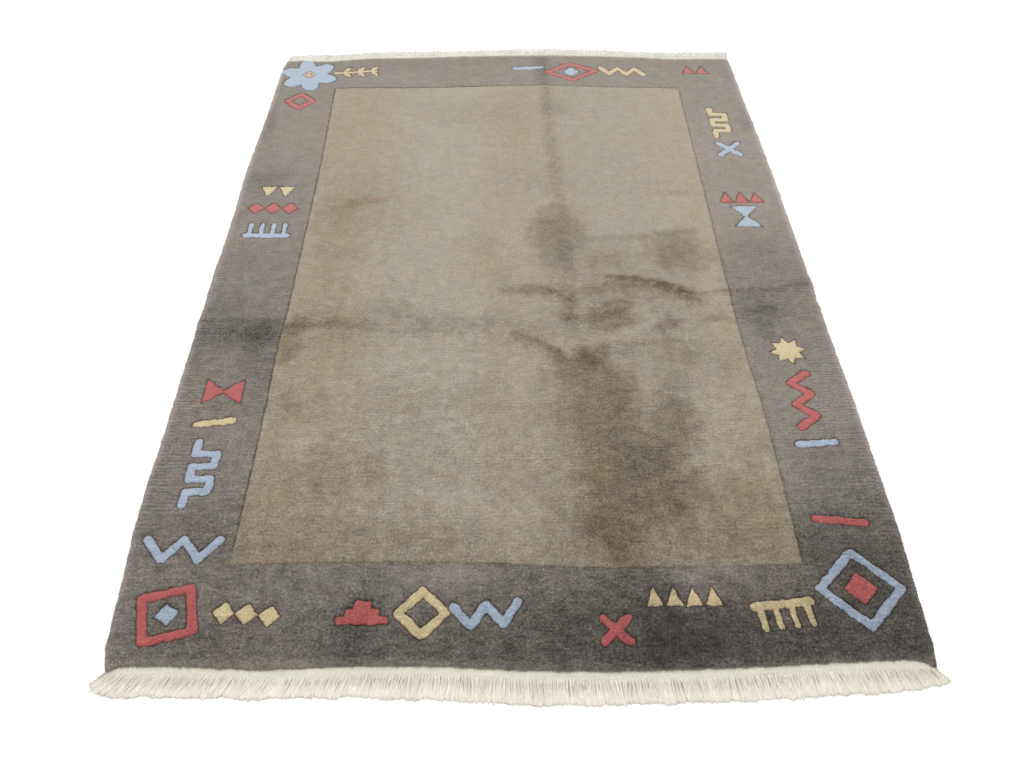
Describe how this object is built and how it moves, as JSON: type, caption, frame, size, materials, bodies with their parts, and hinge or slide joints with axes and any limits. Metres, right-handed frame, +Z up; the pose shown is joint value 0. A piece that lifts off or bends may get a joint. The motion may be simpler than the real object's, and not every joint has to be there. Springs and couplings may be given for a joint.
{
  "type": "hand-knotted wool rug",
  "caption": "Hand-knotted wool rug lying flat, with a plain field, a wide border with small coloured motifs, fold creases, and a cotton fringe at each end.",
  "frame": {"origin": "on the floor, in the middle of the rug's footprint with its fringes", "axes": "+Y from the near end to the far end along the rug's length, +X to the right, +Z up through the pile"},
  "size_m": [1.7262, 2.5584, 0.021],
  "materials": {
    "wool_pile": "matte cut pile, greyed khaki beige field and taupe-grey border, streaky and mottled",
    "cotton_fringe": "matte cream cotton yarn"
  },
  "bodies": {
    "root": {"pile_rug": "wool_pile", "fringe_near": "cotton_fringe", "fringe_far": "cotton_fringe"}
  },
  "joints": []
}
